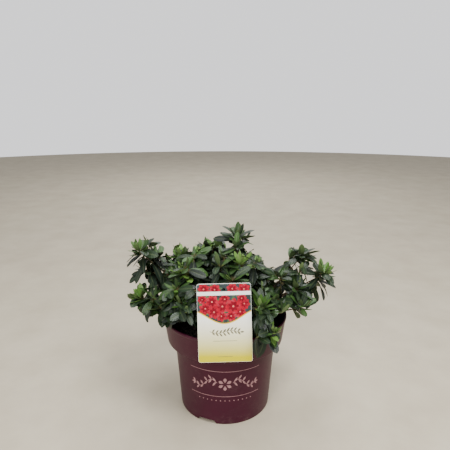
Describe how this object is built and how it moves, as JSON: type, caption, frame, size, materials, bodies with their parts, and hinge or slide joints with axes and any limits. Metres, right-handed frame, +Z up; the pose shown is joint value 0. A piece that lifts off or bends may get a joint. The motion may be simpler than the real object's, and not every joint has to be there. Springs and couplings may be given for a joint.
{
  "type": "potted azalea shrub",
  "caption": "Low spreading evergreen azalea shrub with a short trunk, forking boughs and leafy shoots, growing in a round tapered nursery pot with a staked picture label",
  "frame": {"origin": "middle of the pot's flat underside, on the pot's axis, where it stands", "axes": "+Z up along the pot's axis; the label faces -Y, towards the viewer; +X to the viewer's right, along the plant's widest spread"},
  "size_m": [0.3753, 0.2934, 0.3587],
  "materials": {
    "pot_plastic": "dark wine-red moulded plastic, satin, lightly scuffed and dusty",
    "potting_mix": "dark damp mix of peat, bark chips and a few pale grains",
    "label_card": null,
    "bark": "grey-brown fissured bark, redder on thin boughs",
    "foliage": "dark green leathery leaves with a soft grey sheen, yellow-green at the shoot tips"
  },
  "bodies": {
    "root": {"bough_back": "bark", "bough_back_left": "bark", "bough_back_left_low": "bark", "bough_back_low": "bark", "bough_back_right": "bark", "bough_back_right_low": "bark", "bough_centre_back": "bark", "bough_centre_front": "bark", "bough_centre_left": "bark", "bough_centre_right": "bark", "bough_centre_top": "bark", "bough_front": "bark", "bough_front_right": "bark", "bough_front_right_low": "bark", "bough_left_front": "bark", "bough_left_high": "bark", "bough_left_low": "bark", "bough_left_mid": "bark", "bough_left_near": "bark", "bough_right_far": "bark", "bough_right_high": "bark", "bough_right_low": "bark", "bough_right_mid": "bark", "foliage_back": "foliage", "foliage_back_left": "foliage", "foliage_back_left_low": "foliage", "foliage_back_low": "foliage", "foliage_back_right": "foliage", "foliage_back_right_low": "foliage", "foliage_centre_back": "foliage", "foliage_centre_front": "foliage", "foliage_centre_left": "foliage", "foliage_centre_right": "foliage", "foliage_centre_top": "foliage", "foliage_front": "foliage", "foliage_front_right": "foliage", "foliage_front_right_low": "foliage", "foliage_left_front": "foliage", "foliage_left_high": "foliage", "foliage_left_low": "foliage", "foliage_left_mid": "foliage", "foliage_left_near": "foliage", "foliage_right_far": "foliage", "foliage_right_high": "foliage", "foliage_right_low": "foliage", "foliage_right_mid": "foliage", "label": "label_card", "pot": "pot_plastic", "potting_mix": "potting_mix", "trunk": "bark"}
  },
  "joints": []
}
